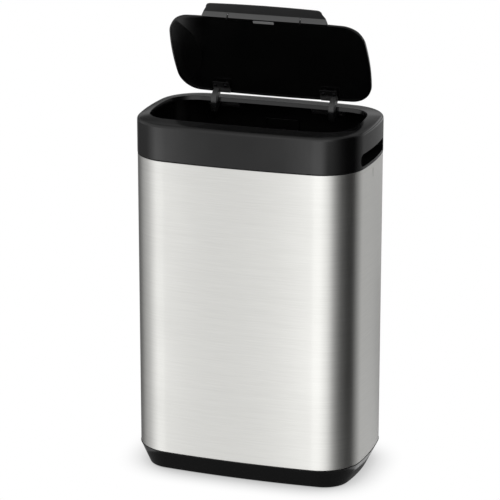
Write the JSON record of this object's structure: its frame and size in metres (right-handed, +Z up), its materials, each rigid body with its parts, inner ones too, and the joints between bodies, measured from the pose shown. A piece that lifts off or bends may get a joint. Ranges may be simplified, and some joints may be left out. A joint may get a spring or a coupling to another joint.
{
  "type": "waste bin",
  "caption": "Oblong free-standing waste bin: brushed steel sleeve, tapered black base, lift-off collar with side finger grips, and a hinged lid on swan-neck arms, held open.",
  "frame": {"origin": "on the floor, under the middle of the steel body and of the overall box", "axes": "+Z up; the front faces -Y and the lid is hinged at the rear, +Y; +X is the right-hand side seen from the front"},
  "size_m": [0.3916, 0.2432, 0.7771],
  "materials": {
    "brushed_steel_sheet": "fine horizontal brushing, satin",
    "base_plastic": "fine moulded grain",
    "collar_plastic": "satin moulded grain",
    "lid_plastic": "satin moulded grain",
    "hinge_plastic": "satin",
    "foot_rubber": "matt",
    "washer_nylon": "matt",
    "bumper_grey": "soft, matt",
    "plated_steel": "zinc plated"
  },
  "bodies": {
    "body": {"base_screw_1": "plated_steel", "base_screw_2": "plated_steel", "base_screw_3": "plated_steel", "base_screw_4": "plated_steel", "base_screw_5": "plated_steel", "base_screw_6": "plated_steel", "base_tray": "base_plastic", "body_sleeve": "brushed_steel_sheet", "foot_pad_front_left": "foot_rubber", "foot_pad_front_right": "foot_rubber", "foot_pad_rear_left": "foot_rubber", "foot_pad_rear_right": "foot_rubber", "rim_frame": "hinge_plastic"},
    "collar": {"bracket_screw_left_inner": "plated_steel", "bracket_screw_left_outer": "plated_steel", "bracket_screw_right_inner": "plated_steel", "bracket_screw_right_outer": "plated_steel", "collar": "collar_plastic", "friction_washer_left_inner": "washer_nylon", "friction_washer_left_outer": "washer_nylon", "friction_washer_right_inner": "washer_nylon", "friction_washer_right_outer": "washer_nylon", "grip_cup_left": "collar_plastic", "grip_cup_right": "collar_plastic", "hinge_bracket_left": "hinge_plastic", "hinge_bracket_right": "hinge_plastic", "hinge_pin_left": "plated_steel", "hinge_pin_right": "plated_steel", "pin_clip_left": "plated_steel", "pin_clip_right": "plated_steel"},
    "lid": {"arm_screw_left_inner": "plated_steel", "arm_screw_left_outer": "plated_steel", "arm_screw_right_inner": "plated_steel", "arm_screw_right_outer": "plated_steel", "handle_clip_left": "hinge_plastic", "handle_clip_right": "hinge_plastic", "hinge_arm_left": "hinge_plastic", "hinge_arm_right": "hinge_plastic", "lid_bumper": "bumper_grey", "lid_handle": "lid_plastic", "lid_shell": "lid_plastic"}
  },
  "joints": [
    {"name": "collar_lift", "type": "slide", "parent": "body", "child": "collar", "axis": [0, 0, 1], "range_m": [0, 0.08]},
    {"name": "lid_hinge", "type": "hinge", "parent": "collar", "child": "lid", "pos_m": [0, 0.0815, 0.595], "axis": [1, 0, 0], "range_deg": [0, 64.4]}
  ]
}
